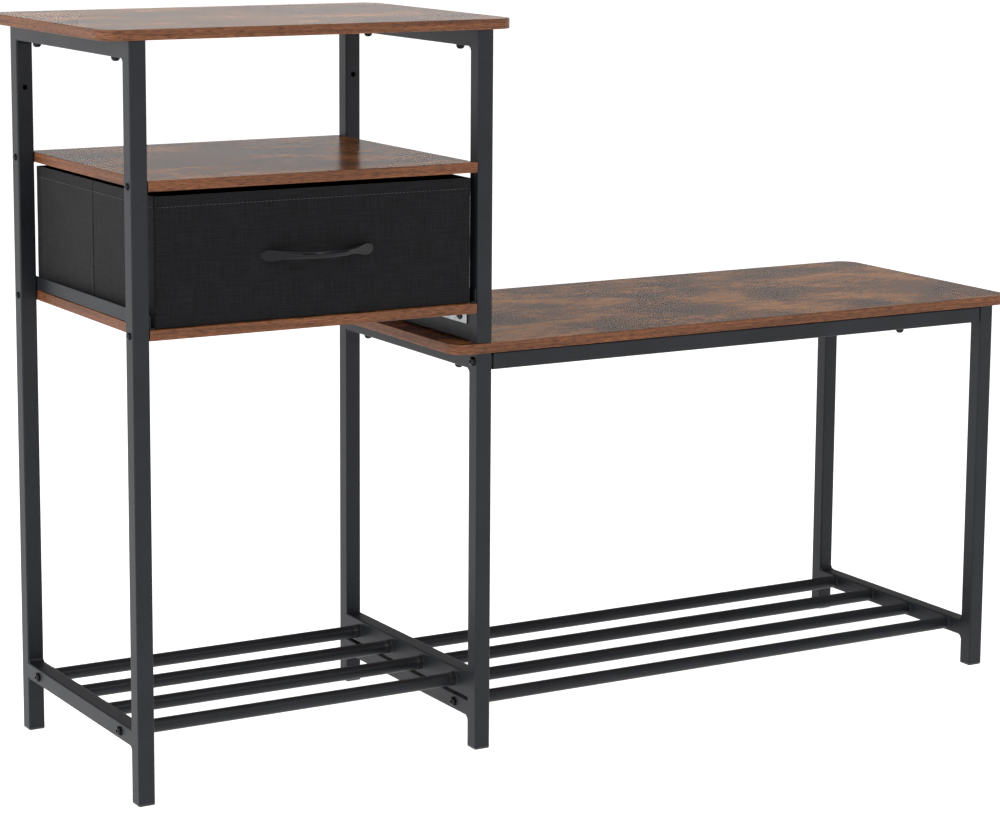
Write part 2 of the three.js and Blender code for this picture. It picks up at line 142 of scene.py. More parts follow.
lamp("left_lamp", (-4.2, -0.6, 2.2), target=(0, 0, 0.4), width=2.4, power=110)
lamp("top_lamp", (0.2, -0.6, 3.0), target=(0.1, 0, 0.4), width=2.4, power=18)
lamp("front_lamp", (1.0, -4.2, 3.2), target=(0.1, 0, 0.4), width=1.2, power=45)

camera_data = bpy.data.cameras.new("camera")
camera_data.sensor_width = 36
camera_data.lens = 107.14
camera_data.shift_y = -0.09
camera_data.clip_end = 200
camera = bpy.data.objects.new("camera", camera_data)
camera_place = Matrix.Translation((-1.8682, -3.1159, 1.0789))
heading, tilt, roll = -0.5303, 0.1626, 0.0067
turn = Matrix.Rotation(heading, 4, "Z") @ Matrix.Rotation(math.pi / 2 - tilt, 4, "X")
camera.matrix_world = camera_place @ turn @ Matrix.Rotation(roll, 4, "Z")
bpy.context.scene.collection.objects.link(camera)
bpy.context.scene.camera = camera

# ------------------------------------------------------------------ welded frames
# Legs, posts, rails and aprons are 20 mm square mild steel tube with rounded corners, cut to length.
# Each end frame is welded, ground flush on its faces, left with a small bead in its inner corners,
# and powder coated charcoal after welding, so the coat runs over every joint.
TUBE_CORNER = 2 * MM
TUBE_WALL = 1.2 * MM
RAIL_REACH = 2.2 * MM  # a rail runs on to where the leg's rounded corner ends
LEG_BORE_DEPTH = 40 * MM
LEG_TOP_ROUND = 2.5 * MM
BEAD = 4.2 * MM
BEAD_MARGIN = 0.9 * MM  # a bead stops short of the tube's faces
BEAD_HOLLOW = 0.94  # how far a bead is scooped out, to its size
WALL_HOLE = 6.5 * MM
WALL_HOLE_DROP = 75 * MM
WALL_DRILLING = 0.9  # length of the drill to the leg's depth: drilled from both sides, without meeting
HAIR = 1e-5  # closer than this is touching


def select(kind, wanted):
    """In edit mode, selects only the vertices, edges or faces that a test wants."""
    bpy.ops.object.mode_set(mode="EDIT")
    bpy.ops.mesh.select_mode(type=kind)
    bpy.ops.mesh.select_all(action="DESELECT")
    shape = bmesh.from_edit_mesh(bpy.context.object.data)
    shape.normal_update()
    items = {"VERT": shape.verts, "EDGE": shape.edges, "FACE": shape.faces}[kind]
    for item in items:
        if wanted(item):
            item.select_set(True)
    bmesh.update_edit_mesh(bpy.context.object.data)


def runs_along(axis):
    """A test for edges that run along an axis."""
    return lambda edge: abs((edge.verts[0].co - edge.verts[1].co).normalized()[axis]) > 0.999


def faces(axis, sign):
    """A test for faces that look along an axis."""
    return lambda face: face.normal[axis] * sign > 0.999


def middle_of(edge):
    """The middle of an edge."""
    return (edge.verts[0].co + edge.verts[1].co) / 2


def round_edges(wanted, offset, segments, profile=0.5):
    """In edit mode, bevels the edges that a test wants."""
    select("EDGE", wanted)
    bpy.ops.mesh.bevel(offset=offset, segments=segments, profile=profile, affect="EDGES")


def block(name, low, high):
    """A cube brought to the size and place of a box, ready to be shaped."""
    low, high = Vector(low), Vector(high)
    bpy.ops.object.select_all(action="DESELECT")
    bpy.ops.mesh.primitive_cube_add(size=1, location=(low + high) / 2)
    piece = bpy.context.object
    piece.name = piece.data.name = name
    piece.scale = high - low
    bpy.ops.object.transform_apply(location=True, rotation=True, scale=True)
    return piece


def make_active(piece):
    """Selects one piece alone."""
    if bpy.context.object and bpy.context.object.mode != "OBJECT":
        bpy.ops.object.mode_set(mode="OBJECT")
    bpy.ops.object.select_all(action="DESELECT")
    piece.select_set(True)
    bpy.context.view_layer.objects.active = piece


def modify(piece, kind, **settings):
    """Adds a modifier with its settings and applies it."""
    make_active(piece)
    bpy.ops.object.modifier_add(type=kind)
    added = piece.modifiers[-1]
    for name, value in settings.items():
        setattr(added, name, value)
    bpy.ops.object.modifier_apply(modifier=added.name)


def cut_away(piece, tool):
    """Cuts one piece by another, which is used up."""
    modify(piece, "BOOLEAN", operation="DIFFERENCE", solver="EXACT", object=tool)
    bpy.data.objects.remove(tool)


def smooth(piece, degrees=35):
    """Shades round surfaces smooth and keeps flat ones flat."""
    make_active(piece)
    bpy.ops.object.shade_smooth_by_angle(angle=math.radians(degrees))
    modify(piece, "WEIGHTED_NORMAL", keep_sharp=True)


def join(name, parts):
    """Joins parts into one piece."""
    make_active(parts[0])
    for part in parts:
        part.select_set(True)
    bpy.ops.object.join()
    parts[0].name = parts[0].data.name = name
    return parts[0]


def fit(piece, body, slot, material, *nodes):
    """Gives a finished piece its material and its body, and hides the nodes that it stands for. Its slot is
    not used.
    """
    if material:
        piece.data.materials.clear()
        piece.data.materials.append(material)
    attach(piece, body)
    if nodes:
        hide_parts(*nodes)


def speckle(material, place, size, detail):
    """Noise with spots of a size."""
    inputs = {"Vector": place, "Scale": 1 / size, "Detail": detail}
    return add_node(material, "TexNoise", inputs).outputs["Fac"]


def spread(material, value, low, high):
    """A value from 0 to 1, spread from low to high."""
    return add_node(material, "MapRange", {"Value": value, "To Min": low, "To Max": high}).outputs[0]


def bump(material, height, strength, depth):
    """A relief of a depth."""
    inputs = {"Height": height, "Strength": strength, "Distance": depth}
    return add_node(material, "Bump", inputs).outputs[0]


def blend_colours(material, amount, first, second, how="MIX"):
    """Two colours mixed by an amount."""
    inputs = {"Factor": amount, 6: first, 7: second}
    return add_node(material, "Mix", inputs, data_type="RGBA", blend_type=how).outputs[2]


def powder_coat():
    """Charcoal polyester powder coat, baked on steel: semi-matt, with a fine orange peel and a cool tone."""
    material = new_material("charcoal_powder_coat", IOR=1.5, Specular_IOR_Level=0.22)
    place = add_node(material, "TexCoord").outputs["Object"]
    clouds = speckle(material, place, 60 * MM, 3)
    # Grit of 1.4 mm: the real peel is about 0.4 mm, drawn coarser so that it shows.
    grit = speckle(material, place, 1.4 * MM, 2)
    tone = ramp(material, clouds, [(0.3, "181a1e"), (0.7, "1f2126")])
    fleck = ramp(material, grit, [(0.35, "c8c8c8"), (0.65, "ffffff")])
    colour = blend_colours(material, 0.5, tone, fleck, "MULTIPLY")
    sheen = spread(material, clouds, 0.36, 0.5)
    peel = bump(material, grit, 0.25, 0.1 * MM)
    connect(material, Base_Color=colour, Roughness=sheen, Normal=peel)
    return material


charcoal = powder_coat()


def square_tube(node, axis, low_reach=0.0, high_reach=0.0):
    """A closed length of square tube in place of a node, run on at its ends."""
    low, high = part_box(node)
    low[axis] -= low_reach
    high[axis] += high_reach
    piece = block(node + "_tube", low, high)
    round_edges(runs_along(axis), TUBE_CORNER, segments=4)
    return piece


def leg(node, side, wall_hole):
    """A leg or post: top closed and rounded at its outer edge, bottom open, some with a wall hole."""
    low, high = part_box(node)
    outer = low.y if side == "front" else high.y
    piece = square_tube(node, Z)
    top_outer = Vector((0, outer, high.z))
    round_edges(
        lambda edge: runs_along(X)(edge) and (middle_of(edge) - top_outer).yz.length < HAIR,
        LEG_TOP_ROUND,
        segments=4,
    )
    select("FACE", faces(Z, -1))
    bpy.ops.mesh.inset(thickness=TUBE_WALL)
    bpy.ops.mesh.extrude_region_move(TRANSFORM_OT_translate={"value": (0, 0, LEG_BORE_DEPTH)})
    bpy.ops.object.mode_set(mode="OBJECT")
    if wall_hole:
        middle = (low + high) / 2
        for face_y in (low.y, high.y):
            bpy.ops.mesh.primitive_cylinder_add(
                vertices=32,
                radius=WALL_HOLE / 2,
                depth=WALL_DRILLING * (high.y - low.y),
                location=(middle.x, face_y, high.z - WALL_HOLE_DROP),
                rotation=(math.pi / 2, 0, 0),
            )
            cut_away(piece, bpy.context.object)
    smooth(piece)
    fit(piece, "frame", "frame_paint", charcoal, node)


for column in ("tower", "middle", "right"):
    for side in ("front", "rear"):
        leg(f"{column}_{side}_leg", side, column == "tower" and side == "rear")
for side in ("front", "rear"):
    leg(f"tower_{side}_post", side, side == "rear")

rails = [
    "tower_left_top_rail",
    "tower_rack_rail",
    "tower_right_top_rail",
    "tower_base_rail",
    "tower_rack_end_bar",
    "middle_top_rail",
    "middle_rack_rail",
    "right_top_rail",
    "right_rack_rail",
]
for rail in rails:
    piece = square_tube(rail, Y, RAIL_REACH, RAIL_REACH)
    smooth(piece)
    fit(piece, "frame", "frame_paint", charcoal, rail)
for side in ("front", "rear"):
    piece = square_tube(f"{side}_apron", X)
    smooth(piece)
    fit(piece, "frame", "frame_paint", charcoal, f"{side}_apron")


def weld_bead(low_x, high_x, corner_y, corner_z, toward_y, toward_z):
    """A hollow bead in the corner between a leg and a rail."""
    far_y = corner_y + toward_y * BEAD
    far_z = corner_z + toward_z * BEAD
    low = (low_x + BEAD_MARGIN, min(corner_y, far_y), min(corner_z, far_z))
    high = (high_x - BEAD_MARGIN, max(corner_y, far_y), max(corner_z, far_z))
    bead = block("bead", low, high)
    outer = Vector((0, far_y, far_z))
    round_edges(
        lambda edge: runs_along(X)(edge) and (middle_of(edge) - outer).yz.length < HAIR,
        BEAD_HOLLOW * BEAD,
        segments=5,
        profile=0.1,
    )
    bpy.ops.object.mode_set(mode="OBJECT")
    return bead


def frame_beads(name, joints):
    """The beads of one frame: for each rail, those above it, under it, or both."""
    beads = []
    for rail, toward in joints:
        low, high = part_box(rail)
        for corner_y, toward_y in ((low.y, 1), (high.y, -1)):
            for toward_z in toward:
                corner_z = high.z if toward_z > 0 else low.z
                beads.append(weld_bead(low.x, high.x, corner_y, corner_z, toward_y, toward_z))
    piece = join(name, beads)
    smooth(piece)
    fit(piece, "frame", "frame_paint", charcoal)


UNDER, BOTH = (-1,), (1, -1)
frame_beads("tower_left_frame_beads", [("tower_left_top_rail", UNDER), ("tower_rack_rail", BOTH)])
frame_beads("tower_right_frame_beads", [("tower_right_top_rail", UNDER)])
frame_beads("middle_frame_beads", [("middle_top_rail", UNDER), ("middle_rack_rail", UNDER)])
frame_beads("right_frame_beads", [("right_top_rail", UNDER), ("right_rack_rail", BOTH)])

# ------------------------------------------------------------------ feet
# Injection-moulded black polyethylene plugs, pushed into the open leg ends: a square cap with
# softened edges on the floor, and a ribbed stem that grips the bore.
FOOT_CAP = 3 * MM
FOOT_ROUND = 1.5 * MM
STEM_INSET = 1.6 * MM
RIB_HEIGHT = 1.2 * MM
RIB_PITCH = 10 * MM
RIB_SHRINK = 0.93  # width of the stem between two ribs to the width of a rib


def moulded_plastic():
    """Black moulded polyethylene: smooth, slightly waxy, with a faint spark-eroded grain."""
    material = new_material("black_moulded_plastic", Base_Color=linear("1b1c1e"), IOR=1.5)
    place = add_node(material, "TexCoord").outputs["Object"]
    grain = speckle(material, place, 0.9 * MM, 3)
    gloss = spread(material, grain, 0.32, 0.48)
    connect(material, Roughness=gloss, Normal=bump(material, grain, 0.2, 0.05 * MM))
    return material


black_plastic = moulded_plastic()


def foot(node):
    """One plug, cap first, then the stem and its ribs drawn up from the cap."""
    low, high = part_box(node)
    cap_top = low.z + FOOT_CAP
    piece = block(node + "_plug", low, (high.x, high.y, cap_top))
    round_edges(runs_along(Z), TUBE_CORNER, segments=4)
    round_edges(lambda edge: max(v.co.z for v in edge.verts) < low.z + HAIR, FOOT_ROUND, segments=3)
    select("FACE", faces(Z, 1))
    bpy.ops.mesh.inset(thickness=STEM_INSET)
    middle = (low + high) / 2
    stem = [(1, RIB_HEIGHT), (RIB_SHRINK, RIB_PITCH - RIB_HEIGHT), (1 / RIB_SHRINK, RIB_HEIGHT)]
    for size, height in stem:
        bpy.ops.mesh.extrude_region_move()
        bpy.ops.transform.resize(value=(size, size, 1), center_override=middle)
        bpy.ops.mesh.extrude_region_move(TRANSFORM_OT_translate={"value": (0, 0, height)})
    bpy.ops.object.mode_set(mode="OBJECT")
    smooth(piece)
    fit(piece, "frame", "black_plastic", black_plastic, node)


for column in ("tower", "middle", "right"):
    for side in ("front", "rear"):
        foot(f"{column}_{side}_foot")

# ------------------------------------------------------------------ boards
# Four 12 mm particle boards faced with rustic brown melamine: brown grain along the length, with dark
# knots and dark worn patches. Their edges carry a printed band, ironed on and trimmed with a small round.
BOARD_CORNER = 25 * MM
BOARD_EDGE = 0.9 * MM
GRAIN_LENGTH = 45 * MM
GRAIN_WIDTH = 2 * MM
PATCH_LENGTH = 120 * MM
PATCH_WIDTH = 100 * MM
KNOT_LENGTH = 200 * MM
KNOT_WIDTH = 150 * MM
PORE_LENGTH = 12 * MM
PORE_WIDTH = 0.9 * MM
STRIPE_LENGTH = 180 * MM
STRIPE_WIDTH = 4 * MM
PATTERN_START = (2.3, 0.7, 0)  # which part of the endless print lies on the boards, in its own units


def stretched(material, length, width, place):
    """Coordinates in which one unit is a length along X and a width along Y and Z."""
    inputs = {"Vector": place, "Location": PATTERN_START, "Scale": (1 / length, 1 / width, 1 / width)}
    return add_node(material, "Mapping", inputs).outputs[0]


def streaks(material, place, length, width, detail, roughness=0.5, distortion=0.0):
    """Noise drawn out along X, with spots of a length and a width."""
    inputs = {
        "Vector": stretched(material, length, width, place),
        "Scale": 1,
        "Detail": detail,
        "Roughness": roughness,
        "Distortion": distortion,
    }
    return add_node(material, "TexNoise", inputs).outputs["Fac"]


def rustic_melamine():
    """Printed melamine paper, pressed with a light wood pore: satin, warm brown, dark knots, dark wear."""
    material = new_material("rustic_brown_melamine", IOR=1.5, Specular_IOR_Level=0.15)
    place = add_node(material, "TexCoord").outputs["Object"]
    grain = streaks(material, place, GRAIN_LENGTH, GRAIN_WIDTH, detail=6, roughness=0.65, distortion=0.4)
    patch = streaks(material, place, PATCH_LENGTH, PATCH_WIDTH, detail=10, roughness=0.72, distortion=0.8)
    tone_length, tone_width = 1.2 * PATCH_LENGTH, 0.8 * PATCH_WIDTH
    tone = streaks(material, place, tone_length, tone_width, detail=5, roughness=0.6, distortion=0.5)
    knot_map = stretched(material, KNOT_LENGTH, KNOT_WIDTH, place)
    wobble = add_node(material, "TexNoise", {"Vector": knot_map, "Scale": 3, "Detail": 4}).outputs["Color"]
    bent = add_node(material, "Mix", {"Factor": 0.22, 4: knot_map, 5: wobble}, data_type="VECTOR").outputs[1]
    knot = add_node(material, "TexVoronoi", {"Vector": bent, "Scale": 1.4}).outputs["Distance"]

    brown = ramp(material, tone, [(0.36, "4c2f16"), (0.62, "c08040"), (0.45, "7d4c22"), (0.53, "a56a32")])
    streak = ramp(material, grain, [(0.34, "8a7f74"), (0.66, "ffffff"), (0.5, "dcd5cd")])
    grained = blend_colours(material, 0.95, brown, streak, "MULTIPLY")
    worn = ramp(material, patch, [(0.36, "d0d0d0"), (0.5, "000000")])
    patched = blend_colours(material, worn, grained, linear("3a281a"))
    heart = ramp(material, knot, [(0.04, "e0e0e0"), (0.24, "000000")])
    coloured = blend_colours(material, heart, patched, linear("1f1812"))
    pore = bump(material, grain, 0.35, 0.15 * MM)
    connect(material, Base_Color=coloured, Roughness=spread(material, grain, 0.2, 0.3), Normal=pore)
    return material


def edge_band():
    """Printed melamine edge band: reddish brown, with short dark pores that run along the edge."""
    material = new_material("rustic_brown_edge_band", IOR=1.5, Specular_IOR_Level=0.25)
    place = add_node(material, "TexCoord").outputs["UV"]
    pore = streaks(material, place, PORE_LENGTH, PORE_WIDTH, detail=5, roughness=0.7, distortion=0.3)
    stripe = streaks(material, place, STRIPE_LENGTH, STRIPE_WIDTH, detail=4, distortion=0.6)
    brown = ramp(material, stripe, [(0.3, "5f3923"), (0.7, "875434")])
    dark = ramp(material, pore, [(0.38, "4d4038"), (0.56, "ffffff")])
    coloured = blend_colours(material, 0.8, brown, dark, "MULTIPLY")
    relief = bump(material, pore, 0.3, 0.15 * MM)
    connect(material, Base_Color=coloured, Roughness=spread(material, pore, 0.42, 0.58), Normal=relief)
    return material


melamine = rustic_melamine()
band = edge_band()


def way_round(point, low, high, radius):
    """How far along a rounded rectangle a point of its outline is, from the front left corner."""
    width, depth = high.x - low.x, high.y - low.y
    sides = [width - 2 * radius, depth - 2 * radius]
    arc = radius * math.pi / 2
    centre = (low + high) / 2
    off = point - centre
    past_x = abs(off.x) > sides[0] / 2 + 1e-6
    past_y = abs(off.y) > sides[1] / 2 + 1e-6
    corner = Vector((math.copysign(sides[0] / 2, off.x), math.copysign(sides[1] / 2, off.y)))
    swing = (math.atan2(off.y - corner.y, off.x - corner.x) / (math.pi / 2)) % 4
    starts = [0, sides[0] + arc, sides[0] + sides[1] + 2 * arc, 2 * sides[0] + sides[1] + 3 * arc]
    if past_x and past_y and radius:
        before = [starts[1] - arc, starts[2] - arc, starts[3] - arc, starts[3] + sides[1]]
        return before[(int(swing) + 1) % 4] + (swing % 1) * arc
    if past_y or (abs(abs(off.y) - depth / 2) < BOARD_EDGE * 1.1 and not past_x):
        return off.x + sides[0] / 2 if off.y < 0 else starts[2] + sides[0] / 2 - off.x
    return starts[1] + off.y + sides[1] / 2 if off.x > 0 else starts[3] + sides[1] / 2 - off.y


def only_map(piece, name):
    """A new map on a piece, in place of those it was made with."""
    layers = piece.data.uv_layers
    while layers:
        layers.remove(layers[0])
    return layers.new(name=name)


def lay_band_map(piece, low, high, radius):
    """Maps the edges of a board so that the band's print runs round it, in metres."""
    layer = only_map(piece, "edge_band")
    mesh = piece.data
    whole = 2 * (high.x - low.x + high.y - low.y - 4 * radius) + 2 * math.pi * radius
    for polygon in mesh.polygons:
        corners = list(polygon.loop_indices)
        points = [mesh.vertices[mesh.loops[i].vertex_index].co for i in corners]
        rounds = [way_round(point, low, high, radius) for point in points]
        for i, point, distance in zip(corners, points, rounds):
            if max(rounds) - min(rounds) > whole / 2 and distance < whole / 2:
                distance += whole
            layer.data[i].uv = (distance, point.z)


def board(node, radius):
    """One faced board with a band round its edges."""
    low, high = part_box(node)
    piece = block(node + "_panel", low, high)
    if radius:
        round_edges(runs_along(Z), radius, segments=14)
    for level in (low.z, high.z):
        round_edges(lambda edge: all(abs(v.co.z - level) < HAIR for v in edge.verts), BOARD_EDGE, segments=3)
    bpy.ops.object.mode_set(mode="OBJECT")
    lay_band_map(piece, low, high, radius)
    piece.data.materials.append(melamine)
    piece.data.materials.append(band)
    for polygon in piece.data.polygons:
        polygon.material_index = 0 if abs(polygon.normal.z) > 0.9 else 1
    smooth(piece)
    fit(piece, "frame", "board", None, node)


board("seat_board", BOARD_CORNER)
board("tower_top_board", BOARD_CORNER)
board("lower_shelf", 0)
board("upper_shelf", 0)

# ------------------------------------------------------------------ shoe racks
# Eight round steel tubes, 16 mm across, welded between the rack rails and powder coated with them.
# Where each tower rack tube meets its end bar, its last 9 mm is covered by a thin, nearly flush black
# cylinder in the black plastic material.
FLARE = 1.6 * MM  # weld round each end
FLARE_STEPS = 3
DARK_END_LENGTH = 9 * MM
DARK_END_WALL = 0.3 * MM
DARK_END_ROUND = 0.4 * MM
RACK_TUBES = 4
WELD_GAP = 0.3 * MM  # between a tube's end and its rail, filled by the weld


def round_bar(name, low, high, radius, sides=40):
    """A cylinder along X between two ends."""
    bpy.ops.object.select_all(action="DESELECT")
    bpy.ops.mesh.primitive_cylinder_add(
        vertices=sides,
        radius=radius,
        depth=high.x - low.x,
        location=(low + high) / 2,
        rotation=(0, math.pi / 2, 0),
    )
    piece = bpy.context.object
    piece.name = piece.data.name = name
    bpy.ops.object.transform_apply(location=True, rotation=True, scale=True)
    return piece


def rack_tube(node):
    """One tube, with a small weld flare at each end that meets a rail."""
    low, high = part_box(node)
    low.x -= WELD_GAP
    high.x += WELD_GAP
    radius = (high.y - low.y) / 2
    inner_low = low + Vector((FLARE, 0, 0))
    inner_high = high - Vector((FLARE, 0, 0))
    piece = round_bar(node + "_bar", inner_low, inner_high, radius)
    centre = (low + high) / 2
    for sign in (-1, 1):
        select("FACE", faces(X, sign))
        for step in range(FLARE_STEPS):
            before = 1 - math.sqrt(1 - (step / FLARE_STEPS) ** 2)
            after = 1 - math.sqrt(1 - ((step + 1) / FLARE_STEPS) ** 2)
            growth = (radius + after * FLARE) / (radius + before * FLARE)
            bpy.ops.mesh.extrude_region_move(
                TRANSFORM_OT_translate={"value": (sign * FLARE / FLARE_STEPS, 0, 0)}
            )
            bpy.ops.transform.resize(value=(1, growth, growth), center_override=centre)
    bpy.ops.object.mode_set(mode="OBJECT")
    smooth(piece, 50)
    fit(piece, "frame", "frame_paint", charcoal, node)


for number in range(1, RACK_TUBES + 1):
    rack_tube(f"tower_rack_tube_{number}")
    rack_tube(f"bench_rack_tube_{number}")

    # A thin black cylinder round the end of each tower rack tube, which draws that end dark.
    low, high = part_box(f"tower_rack_tube_{number}")
    low.x = high.x - DARK_END_LENGTH
    radius = (high.y - low.y) / 2
    dark_end = round_bar(f"tower_rack_sleeve_{number}", low, high, radius + DARK_END_WALL)
    round_edges(lambda edge: abs(edge.verts[0].co.x - edge.verts[1].co.x) < 1e-6, DARK_END_ROUND, segments=2)
    bpy.ops.object.mode_set(mode="OBJECT")
    smooth(dark_end)
    fit(dark_end, "frame", "black_plastic", black_plastic)

# ------------------------------------------------------------------ bolts and screws
# Button-head steel bolts and pan-head screws with hex sockets, zinc plated and blackened. Bolts hold the
# racks and aprons, screws hold the shelves between the legs and the boards on the frames.
BOLT_HEAD = 11 * MM
BOLT_HEAD_HEIGHT = 3.5 * MM
BOLT_SHANK = 6 * MM
BOLT_LENGTH = 34 * MM
BOLT_SOCKET = 4 * MM
SCREW_HEAD = 8 * MM
SCREW_HEAD_HEIGHT = 2.2 * MM
SCREW_SHANK = 4 * MM
SCREW_LENGTH = 42 * MM
SCREW_SOCKET = 2.5 * MM
BOARD_SCREW_HEAD = 10 * MM
BOARD_SCREW_HEAD_HEIGHT = 5.5 * MM
BOARD_SCREW_SHANK = 5 * MM
BOARD_SCREW_LENGTH = 28 * MM
RIM_SHARE = 0.35  # straight rim of a head, to its height; the rest is dome
DOME_SWEEP = math.pi / 3
DOME_STEPS = 4
SOCKET_SHARE = 0.6  # depth of a socket, to the head's height
POINT_SHARE = 0.8  # width of a shank's tip, to its own


def blackened_steel():
    """Black zinc-plated steel: dark, satin metal, brighter where the head's dome turns."""
    material = new_material("black_zinc_plated_steel", Base_Color=linear("28282a"), Metallic=1.0)
    place = add_node(material, "TexCoord").outputs["Object"]
    haze = speckle(material, place, 2 * MM, 3)
    gloss = spread(material, haze, 0.25, 0.45)
    connect(material, Roughness=gloss, Normal=bump(material, haze, 0.15, 0.05 * MM))
    return material


black_steel = blackened_steel()


def headed(name, head, head_height, shank, length, socket):
    """A fastener that points along +X, its head's seat at the origin."""
    radius = head / 2
    piece = round_bar(name, Vector((-RIM_SHARE * head_height, 0, 0)), Vector((0, 0, 0)), radius)
    select("FACE", faces(X, -1))
    rise = (1 - RIM_SHARE) * head_height
    for step in range(DOME_STEPS):
        before = step / DOME_STEPS * DOME_SWEEP
        after = (step + 1) / DOME_STEPS * DOME_SWEEP
        lift = -rise * (math.sin(after) - math.sin(before)) / math.sin(DOME_SWEEP)
        bpy.ops.mesh.extrude_region_move(TRANSFORM_OT_translate={"value": (lift, 0, 0)})
        shrink = math.cos(after) / math.cos(before)
        bpy.ops.transform.resize(value=(1, shrink, shrink), center_override=(0, 0, 0))
    select("FACE", faces(X, 1))
    bpy.ops.mesh.inset(thickness=radius - shank / 2)
    bpy.ops.mesh.extrude_region_move(TRANSFORM_OT_translate={"value": (length, 0, 0)})
    bpy.ops.transform.resize(value=(1, POINT_SHARE, POINT_SHARE), center_override=(0, 0, 0))
    bpy.ops.object.mode_set(mode="OBJECT")
    bpy.ops.mesh.primitive_cylinder_add(
        vertices=6,
        radius=socket / math.sqrt(3),
        depth=2 * SOCKET_SHARE * head_height,
        location=(-head_height, 0, 0),
        rotation=(0, math.pi / 2, 0),
    )
    cut_away(piece, bpy.context.object)
    smooth(piece, 40)
    piece.data.materials.append(black_steel)
    return piece


def copy_to(pattern, name, place, turn):
    """A copy of a pattern with its own mesh, turned and moved to its place."""
    piece = bpy.data.objects.new(name, pattern.data.copy())
    piece.data.name = name
    piece.data.transform(Matrix.Translation(place) @ turn)
    bpy.context.scene.collection.objects.link(piece)
    return piece


FORWARD = Matrix.Identity(4)
BACKWARD = Matrix.Rotation(math.pi, 4, "Z")
UPWARD = Matrix.Rotation(-math.pi / 2, 4, "Y")
bolt = headed("bolt_pattern", BOLT_HEAD, BOLT_HEAD_HEIGHT, BOLT_SHANK, BOLT_LENGTH, BOLT_SOCKET)
screw = headed("screw_pattern", SCREW_HEAD, SCREW_HEAD_HEIGHT, SCREW_SHANK, SCREW_LENGTH, SCREW_SOCKET)
board_screw = headed(
    "board_screw_pattern",
    BOARD_SCREW_HEAD,
    BOARD_SCREW_HEAD_HEIGHT,
    BOARD_SCREW_SHANK,
    BOARD_SCREW_LENGTH,
    BOLT_SOCKET,
)


def drive(pattern, node, head_height):
    """A bolt or screw in place of a node, its head on the side where the node's head is."""
    low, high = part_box(node)
    middle = (low + high) / 2
    heads_left = "right" not in node
    seat_x = low.x + head_height if heads_left else high.x - head_height
    seat = Vector((seat_x, middle.y, middle.z))
    piece = copy_to(pattern, node + "_fixing", seat, FORWARD if heads_left else BACKWARD)
    fit(piece, "frame", "black_fixing", None, node)


for side in ("front", "rear"):
    for place in ("tower_rack", "bench_rack_left", "bench_rack_right", "apron_left", "apron_right"):
        drive(bolt, f"{place}_{side}_bolt", BOLT_HEAD_HEIGHT)
    for place in ("lower_shelf", "upper_shelf_left", "upper_shelf_right"):
        drive(screw, f"{place}_{side}_screw", SCREW_HEAD_HEIGHT)

# Screws up through the top rails and aprons into the boards, their heads under the tubes.
BOARD_SCREW_INSET = 40 * MM  # from the inner face of a leg
under_tubes = {}
for rail in ("tower_left_top_rail", "tower_right_top_rail", "middle_top_rail", "right_top_rail"):
    low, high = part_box(rail)
    middle = (low + high) / 2
    under_tubes[rail + "_front_screw"] = Vector((middle.x, low.y + BOARD_SCREW_INSET, low.z))
    under_tubes[rail + "_rear_screw"] = Vector((middle.x, high.y - BOARD_SCREW_INSET, low.z))
for side in ("front", "rear"):
    low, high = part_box(f"{side}_apron")
    middle = (low + high) / 2
    screw_x = high.x - (high.x - low.x) / 6  # a sixth of the apron from its right end
    under_tubes[f"{side}_apron_screw"] = Vector((screw_x, middle.y, low.z))
for name, seat in under_tubes.items():
    fit(copy_to(board_screw, name, seat, UPWARD), "frame", "black_fixing", None)

# Black plastic spacers that fill the gap between each apron end and its leg.
APRON_GAP = 2 * MM
SPACER_INSET = 2.5 * MM
for side in ("front", "rear"):
    low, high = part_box(f"{side}_apron")
    for end, near, far in (("left", low.x - APRON_GAP, low.x), ("right", high.x, high.x + APRON_GAP)):
        spacer_low = (near, low.y + SPACER_INSET, low.z + SPACER_INSET)
        spacer_high = (far, high.y - SPACER_INSET, high.z - SPACER_INSET)
        spacer = block(f"{side}_apron_{end}_spacer", spacer_low, spacer_high)
        round_edges(runs_along(X), TUBE_CORNER, segments=3)
        bpy.ops.object.mode_set(mode="OBJECT")
        smooth(spacer)
        fit(spacer, "frame", "black_plastic", black_plastic)

# ------------------------------------------------------------------ drawer guards and shelf brackets
# Angles folded from 1.5 mm steel strip. Two long powder-coated ones stand on the lower shelf beside the
# drawer. Two 60 mm zinc-plated ones join that shelf to the base rail, with slots and black screws.
ANGLE_PLATE = 1.5 * MM
SLOT_LENGTH = 14 * MM
SLOT_WIDTH = 5 * MM
SLOT_END = 0.98  # rounding of a slot's ends, to half its width
SLOT_OFFSET = 14 * MM  # of a slot from the bracket's middle
BRACKET_SCREW_SHARE = 0.4  # length of a bracket's screw to a shelf's
ROLL_LENGTH = 25 * MM
ROLL_WIDTH = 1 * MM


def zinc_plate():
    """Bright zinc-plated strip: pale blue-grey metal with rolled streaks and a soft cloudy gloss."""
    material = new_material("bright_zinc_plated_strip", Metallic=1.0)
    place = add_node(material, "TexCoord").outputs["Object"]
    roll_scale = (1 / ROLL_WIDTH, 1 / ROLL_LENGTH, 1 / ROLL_WIDTH)
    along = add_node(material, "Mapping", {"Vector": place, "Scale": roll_scale}).outputs[0]
    rolled = speckle(material, along, 1, 3)
    tone = ramp(material, speckle(material, place, 8 * MM, 3), [(0.3, "8d9092"), (0.7, "aaadaf")])
    gloss = spread(material, rolled, 0.25, 0.45)
    relief = bump(material, rolled, 0.2, 0.05 * MM)
    connect(material, Base_Color=tone, Roughness=gloss, Normal=relief)
    return material


zinc = zinc_plate()


